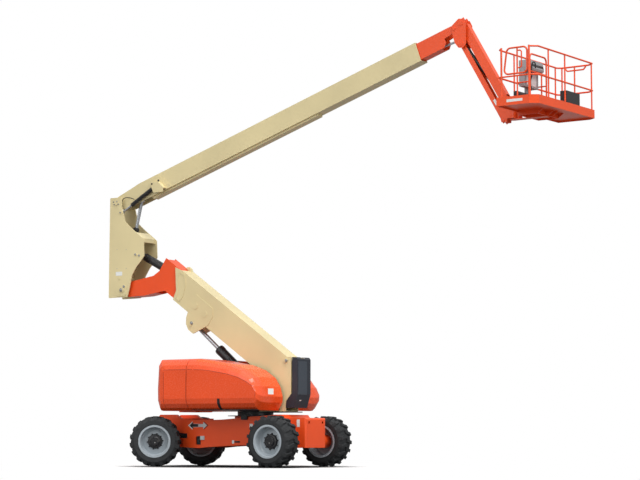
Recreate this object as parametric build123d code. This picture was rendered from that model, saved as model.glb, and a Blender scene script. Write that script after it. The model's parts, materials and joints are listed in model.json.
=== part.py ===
from build123d import *
from math import cos, hypot, radians, sin
import os

# An articulating boom lift: a four-wheel chassis, a turntable with two hoods and a counterweight,
# a telescoping tower, an upright that stays vertical, a telescoping main boom, a parallelogram
# jib and a platform.  Millimetres.  +X is the way the main boom reaches, +Z is up.
# The model is laid out with X = 0 midway between the axles and Z = 0 on the ground, and every
# piece is moved at the end so that the origin is under the middle of the whole machine.
# "right" is the -Y side and "left" the +Y side.

SIDES = (("right", -1), ("left", 1))

# ---------------------------------------------------------------- chassis and wheels
WHEEL_BASE = 3050
TRACK = 1990
TYRE_R = 522.5
TYRE_WIDTH = 420
BEAD_R = 300
FLANGE_R = 335
TYRE_SIDES = 36
TREAD_R = 484  # between the lugs
LUGS = 18  # in each of the two rows
LUG_WIDTH, LUG_LEAN, LUG_INNER = 64, 24, 12
LUG_TOP = 519.5
AXLE_Z = TYRE_R
KINGPIN_OFFSET = 210
KINGPIN_Y = TRACK / 2 - KINGPIN_OFFSET
STEER_X = -WHEEL_BASE / 2
DRIVE_X = WHEEL_BASE / 2
STEER_ANGLE = 30  # the steered wheels stand turned by this much
STEER_LOCK = 35

CHASSIS_TOP = 1000
CHASSIS_BOTTOM = 400
CHASSIS_HALF = 500
CHASSIS_X = (-1050, 1400)
NOSE_HALF = 380
NOSE_X = 1910
PLATE = 12
END_PLATE = 20
TIE_R, TIE_Y, TIE_Z = 30, 255, 905  # tie-down holes through the end plates
SIDE_SLOTS = (((-724, -640), (460, 620)), ((-1049, -985), (610, 680)))  # x and z in the side plates

# ---------------------------------------------------------------- turntable
SWING_X = 430
BEARING_R = 430
FLOOR_Z = (1110, 1130)
TAIL_X = -1333
SEAM_X = -478
HOOD_HALF = 1190
HOOD_INNER = 290
HOOD_WALL = 10
TAIL_SLOT = 235  # half-width of the slot that the tower's lug comes down into
HOOD_BOTTOM = 1150
HOOD_TOP = 2215
COWL_ROUND = 260  # width of the rounding between the flat side and the full outline
CHEEK_Y = (210, 235)  # the two cheek plates that carry the tower
COVER_HALF = 245
COVER_WALL = 8

# ---------------------------------------------------------------- tower, in its own slanting frame
TOWER_PIVOT = (1329, 2167)
TOWER_TILT = 35.3
TOWER_HALF = 200
TOWER_Z = (-570, 68)
TOWER_WALL = 10
TOWER_FLOOR = -500  # underside of the bottom plate, set back between the side plates
TOWER_FLY_HALF = 170
TOWER_FLY_Z = (-475, 44)
TOWER_FLY_COLLAR = -545  # underside of the fly outside the tower's end
TOWER_FLY_TAIL = -450

# ---------------------------------------------------------------- upright
UPRIGHT_PIN_AT = (-4361, -1126)  # in the tower's frame
UPRIGHT_HALF = 245
UPRIGHT_PLATE = 20

# ---------------------------------------------------------------- main boom, in its own frame
BOOM_PIVOT = (-3075, 5674)
BOOM_ANGLE = 19.0
BOOM_HALF = 135
BOOM_Z = (-190, 210)
BOOM_END = 7915
BOOM_WALL = 8
DOUBLER = 5  # thickness of the plate that stiffens the boom's foot on each side
FLY_HALF = 110
FLY_Z = (-158, 184)
FLY_TAIL = 900
FLY_EAR = (8813, 93)

# ---------------------------------------------------------------- jib
JIB_LENGTH = 1830
JIB_ANGLE = -60.2
JIB_SPACING = 413
JIB_UPPER_DEPTH = 178
JIB_LOWER_DEPTH = 103
JIB_HALF = 75
JIB_WALL = 8
HEAD_HALF = 140

# ---------------------------------------------------------------- platform
ROTATOR_X = 6450
PLATFORM_TURN = -2.8  # the basket stands turned by this much on its rotator
PLATFORM_DEPTH = 852
PLATFORM_LENGTH = 2440
PLATFORM_GAP = 318
PLATFORM_Z = 6796
CORNER_X, CORNER_Y = 150, 105  # the outer corners are cut off by this much
TOE_HEIGHT = 165
TOE_WALL = 5
FLOOR_TOP = PLATFORM_Z + 40
RAIL_TOP = 7895
RAIL_R = 17
POST_R = 15

# ---------------------------------------------------------------- joint ranges (degrees, mm)
TOWER_RANGE = (-35.3, 39)
TOWER_STROKE = 2100
BOOM_RANGE = (-21, 56)
BOOM_STROKE = 4500
JIB_RANGE = (0, 124)
ROTATOR_RANGE = (-90, 90)
GATE_RANGE = (0, 90)
HOOD_RANGE = (0, 60)

FIT = 0.1


# ================================================================ small makers
def block(x, y, z):
    """Box between pairs of values along X, Y and Z."""
    size = [b - a for a, b in (x, y, z)]
    middle = [(a + b) / 2 for a, b in (x, y, z)]
    return Pos(*middle) * Box(*size)


def plate(points, y0, y1, radius=0):
    """Outline in the XZ plane, its corners rounded, made solid between two Y values."""
    face = Polygon(*points, align=None)
    if radius:
        face = fillet(face.vertices(), radius)
    return extrude(Plane.XZ.offset(-y0) * face, amount=y1 - y0, dir=(0, 1, 0))


def pair(points, y0, y1, radius=0):
    """The same plate on both sides of the middle plane."""
    return plate(points, y0, y1, radius) + plate(points, -y1, -y0, radius)


def pin(at, radius, y0, y1):
    """Round pin along Y through a point of the XZ plane."""
    return Pos(at[0], (y0 + y1) / 2, at[1]) * Rot(90, 0, 0) * Cylinder(radius, y1 - y0)


def bar(start, end, radius, y=0.0):
    """Round bar between two points of the XZ plane."""
    a = Vector(start[0], y, start[1])
    b = Vector(end[0], y, end[1])
    return Part() + Solid.make_cylinder(radius, (b - a).length, Plane(origin=a, z_dir=b - a))


def tube(start, end, radius):
    """Round bar between two points in space."""
    a, b = Vector(*start), Vector(*end)
    return Part() + Solid.make_cylinder(radius, (b - a).length, Plane(origin=a, z_dir=b - a))


def turn(point, centre, angle):
    """Turn a point of the XZ plane about another, from +X towards +Z."""
    c, s = cos(radians(angle)), sin(radians(angle))
    x, z = point[0] - centre[0], point[1] - centre[1]
    return (centre[0] + x * c - z * s, centre[1] + x * s + z * c)


def along(start, end, distance):
    """Point on the line from start towards end, at a distance from start."""
    length = hypot(end[0] - start[0], end[1] - start[1])
    return tuple(a + (b - a) * distance / length for a, b in zip(start, end))


def tower_point(x, z):
    """Machine point of a point given in the tower's frame."""
    return turn((TOWER_PIVOT[0] + x, TOWER_PIVOT[1] + z), TOWER_PIVOT, -TOWER_TILT)


def boom_point(x, z):
    """Machine point of a point given in the main boom's frame."""
    return turn((BOOM_PIVOT[0] + x, BOOM_PIVOT[1] + z), BOOM_PIVOT, BOOM_ANGLE)


TOWER_PLACE = Location((TOWER_PIVOT[0], 0, TOWER_PIVOT[1]), (0, TOWER_TILT, 0))
BOOM_PLACE = Location((BOOM_PIVOT[0], 0, BOOM_PIVOT[1]), (0, -BOOM_ANGLE, 0))

# pins of the jib's parallelogram: two on the head and two on the bracket
JIB_TOP = (5369, 8733)
JIB_LOW = (JIB_TOP[0], JIB_TOP[1] - JIB_SPACING)
JIB_REACH = (JIB_LENGTH * cos(radians(JIB_ANGLE)), JIB_LENGTH * sin(radians(JIB_ANGLE)))
BRACKET_TOP = (JIB_TOP[0] + JIB_REACH[0], JIB_TOP[1] + JIB_REACH[1])
BRACKET_LOW = (JIB_LOW[0] + JIB_REACH[0], JIB_LOW[1] + JIB_REACH[1])
HEAD_PIN = boom_point(*FLY_EAR)
LUG_AT = (-2445, -748)  # in the tower's frame
LUG_PIN = tower_point(*LUG_AT)
LEVEL_EYE_AT = (-2714, -68)
MASTER_AT = (1124, -28)  # in the main boom's frame
UPRIGHT_PIN = tower_point(*UPRIGHT_PIN_AT)

# ---------------------------------------------------------------- hydraulic cylinders
# name: base pin, rod's eye, barrel radius, rod radius, barrel length, length of rod inside the
# barrel, Y of the axis, width of the eyes, pin radius
CYLINDERS = {
    "tower_lift": ((860, 1280), LUG_PIN, 102, 42, 1790, 950, 0, 220, 35),
    "level": ((-2526, 4525), tower_point(*LEVEL_EYE_AT), 85, 45, 1230, 598, 0, 100, 30),
    "boom_lift": ((-2978, 4029), boom_point(500, -113), 65, 36, 1130, 480, 0, 90, 28),
    "master": (boom_point(*MASTER_AT), (-2950, 5463), 44, 22, 800, 500, -190, 60, 18),
    "slave": (boom_point(7700, -40), (5268, 8415), 34, 22, 680, 250, 0, 60, 18),
    "jib": (JIB_LOW, BRACKET_TOP, 40, 24, 1350, 970, 0, 70, 28),
}


def barrel(name):
    base, eye, radius, rod_r, length, _, y, width, pin_r = CYLINDERS[name]
    eye_r = pin_r + 18
    neck = eye_r + 45
    hollow_from = along(base, eye, neck + 20)
    body = bar(along(base, eye, eye_r - 12), along(base, eye, neck + 1), min(radius, width / 2 - 4), y)
    body += bar(along(base, eye, neck), along(base, eye, length), radius, y)
    body -= bar(hollow_from, along(base, eye, length - 40), radius - 12, y)
    body -= bar(hollow_from, along(base, eye, length + 1), rod_r + 1, y)
    body += pin(base, eye_r, y - width / 2, y + width / 2)
    return body - pin(base, pin_r + FIT, y - 200, y + 200)


def rod(name):
    base, eye, _, rod_r, length, inside, y, width, pin_r = CYLINDERS[name]
    body = bar(along(base, eye, length - inside), eye, rod_r, y)
    return body + pin(eye, pin_r + 16, y - width / 2, y + width / 2)


# ================================================================ chassis
SIDE_OUTLINE = (
    (CHASSIS_X[0], 399), (-648, 384), (-384, 408), (-63, 425), (575, 447), (CHASSIS_X[1], 450),
    (CHASSIS_X[1] + 60, 560), (CHASSIS_X[1] + 60, 990), (CHASSIS_X[1], 1065), (1244, 1066),
    (508, 1009), (-67, 971), (-395, 962), (CHASSIS_X[0], 975),
)
HUMP_OUTLINE = (
    (-1790, 700), (-1790, 1010), (-1730, 1080), (-1320, 1080), (-1230, 1020), (-1060, 960), (-1060, 700),
)


def nose(x0, x1):
    """Narrow end of the frame, from inside the middle part out to its end plate."""
    end = x1 if abs(x1) > abs(x0) else x0
    outer = block((x0, x1), (-NOSE_HALF, NOSE_HALF), (CHASSIS_BOTTOM, CHASSIS_TOP))
    rim_edges = outer.edges().filter_by(lambda edge: abs(edge.center().X - end) < 1)
    outer = fillet(rim_edges.filter_by(Axis.Z) + rim_edges.filter_by(Axis.Y).sort_by(Axis.Z)[-1:], 45)
    inner = block(
        (x0 + END_PLATE, x1 - END_PLATE),
        (-NOSE_HALF + PLATE, NOSE_HALF - PLATE),
        (CHASSIS_BOTTOM - 1, CHASSIS_TOP - 2 * PLATE),
    )
    return outer, inner


def chassis_frame():
    """Open-bottomed box: side plates, a narrow nose at each end and the slew ring on top."""
    frame = plate(SIDE_OUTLINE, -CHASSIS_HALF, CHASSIS_HALF)
    inner = plate(inset(SIDE_OUTLINE, -PLATE), -CHASSIS_HALF + PLATE, CHASSIS_HALF - PLATE)
    inner += block(
        (CHASSIS_X[0] + PLATE, CHASSIS_X[1] + 60 - PLATE),
        (-CHASSIS_HALF + PLATE, CHASSIS_HALF - PLATE), (300, 480),
    )
    for x0, x1 in ((-NOSE_X, -900), (1300, NOSE_X)):
        outer, hollow = nose(x0, x1)
        frame += outer
        inner += hollow
    frame += pair(HUMP_OUTLINE, NOSE_HALF - 60, NOSE_HALF + 20)
    frame -= inner
    for x in (STEER_X, DRIVE_X):
        frame -= block((x - 131, x + 131), (-CHASSIS_HALF, CHASSIS_HALF), (CHASSIS_BOTTOM - 20, 701))
    for y in (-TIE_Y, TIE_Y):
        frame -= Pos(0, y, TIE_Z) * Rot(0, 90, 0) * Cylinder(TIE_R, 2 * NOSE_X + 2)
    for (x, z) in SIDE_SLOTS:
        frame -= block(x, (-CHASSIS_HALF - 1, CHASSIS_HALF + 1), z)
    ring = Pos(SWING_X, 0, 1020) * Cylinder(BEARING_R, 60)
    return frame + ring - Pos(SWING_X, 0, 1000) * Cylinder(BEARING_R - 90, 160)


def axle_beam(x):
    return block((x - 110, x + 110), (-640, 640), (AXLE_Z - 130, AXLE_Z + 130))


def steer_axle():
    axle = axle_beam(STEER_X)
    for _, side in SIDES:
        y = sorted((side * 620, side * (KINGPIN_Y + 45)))
        for z in ((AXLE_Z + 90, AXLE_Z + 125), (AXLE_Z - 125, AXLE_Z - 90)):
            axle += block((STEER_X - 65, STEER_X + 65), y, z)
        axle += Pos(STEER_X, side * KINGPIN_Y, AXLE_Z) * Cylinder(32, 250)
    return axle


def drive_axle():
    axle = axle_beam(DRIVE_X)
    for _, side in SIDES:
        axle += pin((DRIVE_X, AXLE_Z), 140, *sorted((side * 600, side * (TRACK / 2 - 5))))
    return axle


def axles():
    return steer_axle() + drive_axle()


def steering(side):
    """Where a steered wheel's pieces go: turned about the kingpin."""
    return Pos(STEER_X, side * KINGPIN_Y, 0) * Rot(0, 0, STEER_ANGLE)


def knuckle(side):
    out = KINGPIN_OFFSET
    body = block((-60, 60), sorted((side * -60, side * 120)), (AXLE_Z - 85, AXLE_Z + 85))
    body += pin((0, AXLE_Z), 140, *sorted((side * 105, side * (out - 5))))
    body -= Pos(0, 0, AXLE_Z) * Cylinder(32 + FIT, 400)
    return steering(side) * body


# ---------------------------------------------------------------- wheels, about their own middle
def ring_face(y, radius):
    """Many-sided outline of the tyre at a place along its axle."""
    return Plane.XZ.offset(-y) * RegularPolygon(radius, TYRE_SIDES, major_radius=False)


def tyre_lug(row, turn_by):
    """Slanted tread bar from near the middle line out over the shoulder."""
    wide, lean = LUG_WIDTH / 2, LUG_LEAN
    inner, outer = LUG_INNER, TYRE_WIDTH / 2
    low = ((-wide - 8 - lean, inner - 8), (wide + 8 - lean, inner - 8),
           (wide + 8 + lean, outer), (-wide - 8 + lean, outer))
    high = ((-wide - lean, inner), (wide - lean, inner), (wide + lean, outer - 28), (-wide + lean, outer - 28))
    bar = loft([
        Plane.XY.offset(z) * Polygon(*[(x, row * y) for x, y in points], align=None)
        for z, points in ((TREAD_R - 45, low), (LUG_TOP, high))
    ], ruled=True)
    return Rot(0, turn_by, 0) * bar


def tyre():
    half = TYRE_WIDTH / 2
    body = loft([
        ring_face(y, radius)
        for y, radius in ((-half, 425), (35 - half, TREAD_R), (half - 35, TREAD_R), (half, 425))
    ], ruled=True)
    body -= extrude(ring_face(-half - 1, BEAD_R), amount=TYRE_WIDTH + 2, dir=(0, 1, 0))
    for side in (-1, 1):
        recess = ring_face(side * (half - 12), FLANGE_R + 12)
        body -= extrude(recess, amount=20, dir=(0, side, 0))
    pitch = 360 / LUGS
    for i in range(LUGS):
        body += [tyre_lug(-1, i * pitch), tyre_lug(1, (i + 0.5) * pitch)]
    return body


RIM_SECTION = (  # distance out from the middle plane, radius
    (-208, FLANGE_R), (-198, FLANGE_R), (-198, BEAD_R), (198, BEAD_R), (198, FLANGE_R),
    (208, FLANGE_R), (208, 296), (188, 288), (60, 284), (34, 262), (58, 178), (58, 142),
    (92, 136), (92, 88), (104, 80), (104, 0), (0, 0), (0, 120), (20, 160), (0, 262),
    (10, 284), (-60, 288), (-208, 296),
)


def rim(side):
    section = Polygon(*[(side * y, radius) for y, radius in RIM_SECTION], align=None)
    return revolve(Plane.YZ * section, Axis.Y)


def wheel_place(end, side):
    if end == "steer":
        return steering(side) * Pos(0, side * KINGPIN_OFFSET, AXLE_Z)
    return Pos(DRIVE_X, side * TRACK / 2, AXLE_Z)


# ================================================================ turntable
def turntable_base():
    floor = block((TAIL_X + 40, 1440), (-1080, 1080), FLOOR_Z)
    floor += Pos(SWING_X, 0, 1082.5) * Cylinder(BEARING_R - 40, 55)
    floor -= Pos(SWING_X, 0, 1080) * Cylinder(BEARING_R - 120, 160)
    return floor


CHEEK_OUTLINE = (
    (1460, 2240), (1280, 2240), (980, 1960), (640, 1400), (600, FLOOR_Z[1]),
    (1326, FLOOR_Z[1]), (1338, 1344), (1460, 1488),
)


def turntable_cheeks():
    """The two plates that carry the tower, with the bosses of the lift cylinder's foot."""
    cheeks = pair(CHEEK_OUTLINE, *CHEEK_Y)
    cheeks += block((560, 1326), (-CHEEK_Y[0], CHEEK_Y[0]), (FLOOR_Z[1], FLOOR_Z[1] + 20))
    foot, width = CYLINDERS["tower_lift"][0], CYLINDERS["tower_lift"][-2]
    for _, side in SIDES:
        cheeks += pin(foot, 60, *sorted((side * (width / 2 + 2), side * (CHEEK_Y[0] + 1))))
    cheeks += pin(foot, CYLINDERS["tower_lift"][-1], -CHEEK_Y[0] - 1, CHEEK_Y[0] + 1)
    return cheeks + pin(TOWER_PIVOT, 45, -260, 260)


# outline of the cowl that the hood and the tail are cut from: x and z on the flat side
# panel, then x and z where the rounding has come in to the full outline
COWL_POINTS = (
    (-1067, 1394, -1255, 1150), (-1067, 1480, -1325, 1330), (-1067, 1800, -1333, 1560),
    (-1067, 1950, -1300, 2120), (-1000, 1986, -1250, 2212), (-300, 1984, -300, 2216),
    (20, 1963, 70, 2172), (526, 1881, 570, 2084), (800, 1808, 868, 1980),
    (1010, 1716, 1113, 1815), (1150, 1625, 1236, 1630), (1228, 1510, 1296, 1427),
    (1222, 1420, 1284, 1307), (1180, 1394, 1187, 1150),
)
COWL_TURNS = (0, 25, 50, 72, 90)  # degrees round the quarter of the rounding


def inset(points, step):
    """The polygon's points with every side moved inwards."""
    moved = []
    for before, at, after in zip(points[-1:] + points[:-1], points, points[1:] + points[:1]):
        (ax, az), (bx, bz) = [
            along((0, 0), (q[0] - p[0], q[1] - p[1]), 1) for p, q in ((before, at), (at, after))
        ]
        reach = step / (1 + ax * bx + az * bz)
        moved.append((at[0] + (az + bz) * reach, at[1] - (ax + bx) * reach))
    return tuple(moved)


def cowl(step=0.0):
    """Body cowl on the left side, from the flat side panel in to the inner edge."""
    sections = []
    for angle in COWL_TURNS:
        share = sin(radians(angle))
        y = HOOD_HALF - step - COWL_ROUND * (1 - cos(radians(angle)))
        points = tuple((a + (c - a) * share, b + (d - b) * share) for a, b, c, d in COWL_POINTS)
        sections.append(Plane.XZ.offset(-y) * Polygon(*inset(points, step), align=None))
    inner_y = HOOD_INNER - step
    straight = HOOD_HALF - COWL_ROUND - step - inner_y
    return loft(sections, ruled=True) + extrude(sections[-1], amount=straight, dir=(0, -1, 0))


def hood(side):
    """Shell open below, on the inner side and towards the tail."""
    inner = cowl(HOOD_WALL)
    shell = cowl() - inner
    shell -= block((SEAM_X, 1150), (HOOD_INNER - 1, 1110), (1100, HOOD_BOTTOM + HOOD_WALL + 1))
    shell &= block((SEAM_X, 1400), (0, 1400), (1100, 2400))
    return shell if side > 0 else mirror(shell, Plane.XZ)


def counterweight():
    """Cast tail: both sides, and a low part between them with a slot for the tower's lug."""
    left = cowl() & block((-1400, SEAM_X - 10), (0, 1400), (1100, 2400))
    left -= block((TAIL_X + 160, SEAM_X + 1), (HOOD_INNER + 110, HOOD_HALF - 120), (1260, HOOD_TOP - 260))
    left += block((TAIL_X + 20, TAIL_X + 420), (TAIL_SLOT, HOOD_INNER + 1), (FLOOR_Z[1], 1560))
    middle = block((TAIL_X + 20, TAIL_X + 500), (-TAIL_SLOT - 1, TAIL_SLOT + 1), (FLOOR_Z[1], 1260))
    return left + mirror(left, Plane.XZ) + middle


COVER_OUTLINE = (
    (1490, 2233), (1590, 2233), (1624, 2190), (1624, 1480), (1536, 1204), (1345, 1204),
    (1345, 1340), (1460, 1480), (1490, 1500),
)


def end_cover():
    """Moulded cover over the tower's foot, with a notch in its top edge."""
    cover = plate(COVER_OUTLINE, -COVER_HALF, COVER_HALF)
    inside = inset(COVER_OUTLINE[::-1], -COVER_WALL)
    cover -= plate(inside, -COVER_HALF + COVER_WALL, COVER_HALF - COVER_WALL)
    cover -= block((1485, 1500), (-COVER_HALF + COVER_WALL, COVER_HALF - COVER_WALL), (1500, 2225))
    return cover - block((1486, 1630), (-90, 90), (2212, 2240))


def engine():
    return block((-300, 500), (400, 880), (FLOOR_Z[1], 1780))


# ================================================================ tower
TOWER_OUTLINE = (
    (60, TOWER_Z[1] - 40), (20, TOWER_Z[1]), (-3280, TOWER_Z[1]), (-3496, 24), (-3191, -368),
    (-3147, TOWER_Z[0]), (-60, TOWER_Z[0]), (60, -420),
)
LUG_OUTLINE = (
    (-2700, -140), (-2160, -150), (-2064, -300), (-2063, -500), (-2105, -580), (-2280, -865),
    (-2430, -865), (-2550, -800), (-2630, -680), (-2655, -580), (-2700, -500),
)
END_RING = ((-3395, 10), (-3190, 38), (-3040, -130), (-2960, -370), (-2975, -510), (-3105, -510), (-3150, -385))
LUG_Y = (180, 208)
BOSSES = ((-2566, -353), (-2266, -362))


def tower_base():
    """Box section with the lift cylinder's lug plates and doublers on its sides."""
    body = plate(TOWER_OUTLINE, -TOWER_HALF, TOWER_HALF)
    inner = TOWER_HALF - TOWER_WALL
    body -= block((-3600, -200), (-inner, inner), (TOWER_FLOOR + TOWER_WALL, TOWER_Z[1] - TOWER_WALL))
    body -= block((-3080, 100), (-inner, inner), (TOWER_Z[0] - 1, TOWER_FLOOR))
    body -= block((-3600, -3079), (-inner, inner), (TOWER_Z[0] - 1, TOWER_FLOOR + TOWER_WALL + 1))
    body += pair(LUG_OUTLINE, TOWER_HALF - 1, LUG_Y[1], 25)
    below = block((-2700, -2000), (-300, 300), (-900, TOWER_FLOOR + TOWER_WALL))
    body += pair(LUG_OUTLINE, *LUG_Y, 25) & below
    body += pair(END_RING, TOWER_HALF - 1, LUG_Y[1], 40)
    body -= pair(inset(END_RING[::-1], -32), TOWER_HALF, LUG_Y[1] + 1, 20)
    for at in BOSSES:
        body += pin(at, 62, LUG_Y[1] - 1, LUG_Y[1] + 8) + pin(at, 62, -LUG_Y[1] - 8, 1 - LUG_Y[1])
    body += plate(((-3460, 52), (-3400, 118), (-3330, 118), (-3265, 68), (-3265, 56)), 95, 165)
    stub, width = LUG_Y[1] + 10, CYLINDERS["tower_lift"][-2]
    for _, side in SIDES:
        body += pin(LUG_AT, 35, *sorted((side * (width / 2 + 6), side * stub)))
    body -= pin((0, 0), 45 + FIT, -300, 300)
    return TOWER_PLACE * body


TOWER_FLY_OUTLINE = (
    (TOWER_FLY_TAIL, TOWER_FLY_Z[1]), (-3836, TOWER_FLY_Z[1]), (-3825, -279), (-3900, -450),
    (-4337, -885), (-4500, -1126), (-4361, -1260), (-4173, -1171), (-3848, -923),
    (-3462, TOWER_FLY_COLLAR), (-3145, TOWER_FLY_COLLAR), (-3105, TOWER_FLY_Z[0]),
    (TOWER_FLY_TAIL, TOWER_FLY_Z[0]),
)


def tower_fly():
    body = plate(TOWER_FLY_OUTLINE, -TOWER_FLY_HALF, TOWER_FLY_HALF)
    inner = TOWER_FLY_HALF - 12
    body -= block((-4000, TOWER_FLY_TAIL + 10), (-inner, inner), (TOWER_FLY_Z[0] + 10, TOWER_FLY_Z[1] - 10))
    body -= block((-4000, -3160), (-inner, inner), (TOWER_FLY_COLLAR + 10, TOWER_FLY_Z[0] + 11))
    body -= plate(((-3400, -500), (-3815, -880), (-4700, -1400), (-4700, 100), (-3820, 100)), -inner, inner)
    out = TOWER_FLY_HALF + 30
    body += pin(UPRIGHT_PIN_AT, 90, inner - 1, out) + pin(UPRIGHT_PIN_AT, 90, -out, 1 - inner)
    body -= pin(UPRIGHT_PIN_AT, 45 + FIT, -300, 300)
    return TOWER_PLACE * body


# ================================================================ upright
UPRIGHT_OUTLINE = (
    (-3250, 5792), (-2941, 5792), (-2928, 5566), (-2836, 5249), (-2652, 5093), (-2335, 4853),
    (-2315, 4487), (-2355, 4430), (-2523, 4255), (-2640, 4076), (-2710, 3772), (-2757, 3618),
    (-3265, 3609),
)
FRONT_PLATE = (
    (-2560, 5015), (-2385, 4882), (-2378, 4876), (-2378, 4790), (-2398, 4790), (-2398, 4862), (-2560, 4985),
)
FOOT_DOUBLER = ((-3060, 3880), (-2800, 3880), (-2775, 3640), (-3060, 3640))


def upright():
    """Two side plates joined at the back, at the front and by the pins between them."""
    inner = UPRIGHT_HALF - UPRIGHT_PLATE
    body = pair(UPRIGHT_OUTLINE, inner, UPRIGHT_HALF, 24)
    body += block((-3262, -3242), (-inner - 1, inner + 1), (3900, 5300))
    body += plate(FRONT_PLATE, -inner - 1, inner + 1)
    body += pair(FOOT_DOUBLER, UPRIGHT_HALF - 1, UPRIGHT_HALF + 8, 60)
    body += pin(UPRIGHT_PIN, 45, -UPRIGHT_HALF - 20, UPRIGHT_HALF + 20)
    body += pin(BOOM_PIVOT, 45, -UPRIGHT_HALF - 15, UPRIGHT_HALF + 15)
    for name in ("level", "boom_lift"):
        body += pin(CYLINDERS[name][0], CYLINDERS[name][-1], -UPRIGHT_HALF - 10, UPRIGHT_HALF + 10)
    return body + pin(CYLINDERS["master"][1], 40, -UPRIGHT_HALF - 10, -UPRIGHT_HALF + 1)


# ================================================================ main boom
BOOM_OUTLINE = (
    (-110, 60), (0, 150), (453, 190), (644, BOOM_Z[1]), (BOOM_END, BOOM_Z[1]), (BOOM_END, BOOM_Z[0]),
    (200, BOOM_Z[0]), (-60, -110), (-130, -30),
)


FOOT_PLATE = BOOM_OUTLINE[:4] + ((1165, BOOM_Z[1]), (1448, BOOM_Z[0])) + BOOM_OUTLINE[6:]
MASTER_BRACKET = ((1000, 62), (1180, 12), (1280, -168), (1238, -250), (1000, -168), (985, -40))
BRACKET_WEB = ((1000, 62), (1180, 12), (1280, -168), (1270, -174), (1174, 4), (998, 53))
HOSE_TRACK = ((850, 5300), (-95, 95), (BOOM_Z[0] - 45, BOOM_Z[0] + 1))


def main_boom():
    """Box section with doublers at its foot, the hose track below and the master's bracket."""
    body = plate(BOOM_OUTLINE, -BOOM_HALF, BOOM_HALF)
    body += pair(FOOT_PLATE, BOOM_HALF - 1, BOOM_HALF + DOUBLER)
    inner = BOOM_HALF - BOOM_WALL
    body -= block((850, BOOM_END + 1), (-inner, inner), (BOOM_Z[0] + BOOM_WALL, BOOM_Z[1] - BOOM_WALL))
    body -= block((120, 840), (-inner, inner), (BOOM_Z[0] - 1, 120))
    body -= block((-140, 130), (-50, 50), (BOOM_Z[0] - 10, -60))
    body += block(*HOSE_TRACK)
    body += pin((0, 0), 90, BOOM_HALF - 1, 215) + pin((0, 0), 90, -215, -BOOM_HALF + 1)
    body -= pin((0, 0), 45 + FIT, -300, 300)
    body += plate(MASTER_BRACKET, -250, -240, 20)
    body += plate(BRACKET_WEB, -241, -BOOM_HALF)
    body += pin(MASTER_AT, CYLINDERS["master"][-1], -241, -BOOM_HALF)
    return BOOM_PLACE * body


def main_fly():
    outline = (
        (FLY_TAIL, FLY_Z[1]), (8700, FLY_Z[1]), (8850, 176), (8900, 93), (8850, 20), (8712, 30),
        (8531, 9), (8542, -75), (8471, FLY_Z[0]), (FLY_TAIL, FLY_Z[0]),
    )
    body = plate(outline, -FLY_HALF, FLY_HALF)
    inner = FLY_HALF - 10
    body -= block((FLY_TAIL - 1, 8560), (-inner, inner), (FLY_Z[0] + 8, FLY_Z[1] - 8))
    body -= block((8559, 8950), (-inner + 10, inner - 10), (-200, 400))
    body -= block((8400, 8562), (-82, 82), (FLY_Z[0] - 1, -60))
    body -= pin(FLY_EAR, 30 + FIT, -300, 300)
    slave = CYLINDERS["slave"]
    return BOOM_PLACE * body + pin(slave[0], slave[-1], -inner - 1, inner + 1)


# ================================================================ jib
def jib_head():
    """Two plates that hold the boom's end, both jib arms and the slave cylinder's eye."""
    outline = (
        (5165, 8690), (5320, 8822), (5430, 8812), (5485, 8700), (5485, 8300), (5420, 8235),
        (5320, 8240), (5240, 8340), (5190, 8500),
    )
    head = pair(outline, HEAD_HALF - 15, HEAD_HALF, 35)
    for at in (JIB_TOP, JIB_LOW):
        head += pin(at, 28, -HEAD_HALF - 10, HEAD_HALF + 10)
        head += pin(at, 55, HEAD_HALF - 1, HEAD_HALF + 8) + pin(at, 55, -HEAD_HALF - 8, 1 - HEAD_HALF)
    return head + pin(HEAD_PIN, 30, -HEAD_HALF - 10, HEAD_HALF + 10)


def jib_arm(top, depth, open_side):
    """Channel-shaped arm from a head pin to a bracket pin, open towards the other arm."""
    length = JIB_LENGTH
    arm = block((-depth / 2, length + depth / 2), (-JIB_HALF, JIB_HALF), (-depth / 2, depth / 2))
    inner = JIB_HALF - JIB_WALL
    z = (-depth / 2 - 1, depth / 2 - JIB_WALL) if open_side < 0 else (-depth / 2 + JIB_WALL, depth / 2 + 1)
    arm -= block((-depth, length + depth), (-inner, inner), z)
    arm -= block((-depth, 60), (-inner, inner), (-depth, depth))
    arm -= block((length - 60, length + depth), (-inner, inner), (-depth, depth))
    for x in (0, length):
        arm -= pin((x, 0), 28 + FIT, -300, 300)
    return Location((top[0], 0, top[1]), (0, -JIB_ANGLE, 0)) * arm


def jib_bracket():
    """Plates on the jib's far pins, and the housing of the platform rotator."""
    outline = (
        (BRACKET_TOP[0] - 75, BRACKET_TOP[1] + 72), (BRACKET_TOP[0] + 60, BRACKET_TOP[1] + 72),
        (BRACKET_TOP[0] + 62, 6972), (ROTATOR_X - 20, 6955), (ROTATOR_X - 20, 6765),
        (BRACKET_LOW[0] + 74, 6752), (BRACKET_LOW[0] + 66, BRACKET_LOW[1] - 45),
        (BRACKET_LOW[0] - 50, BRACKET_LOW[1] - 45), (BRACKET_LOW[0] - 75, BRACKET_LOW[1] + 60),
    )
    body = pair(outline, 83, 98, 8)
    for at in (BRACKET_TOP, BRACKET_LOW):
        body += pin(at, 28, 66, 108) + pin(at, 28, -108, -66)
    return body + Pos(ROTATOR_X, 0, 6860) * Cylinder(100, 220)


# ================================================================ platform, square to its rotator
PLATFORM_PLACE = Pos(ROTATOR_X, 0, 0) * Rot(0, 0, PLATFORM_TURN)
DECK_X = (PLATFORM_GAP, PLATFORM_GAP + PLATFORM_DEPTH)
DECK_Y = (-PLATFORM_LENGTH / 2, PLATFORM_LENGTH / 2)


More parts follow.
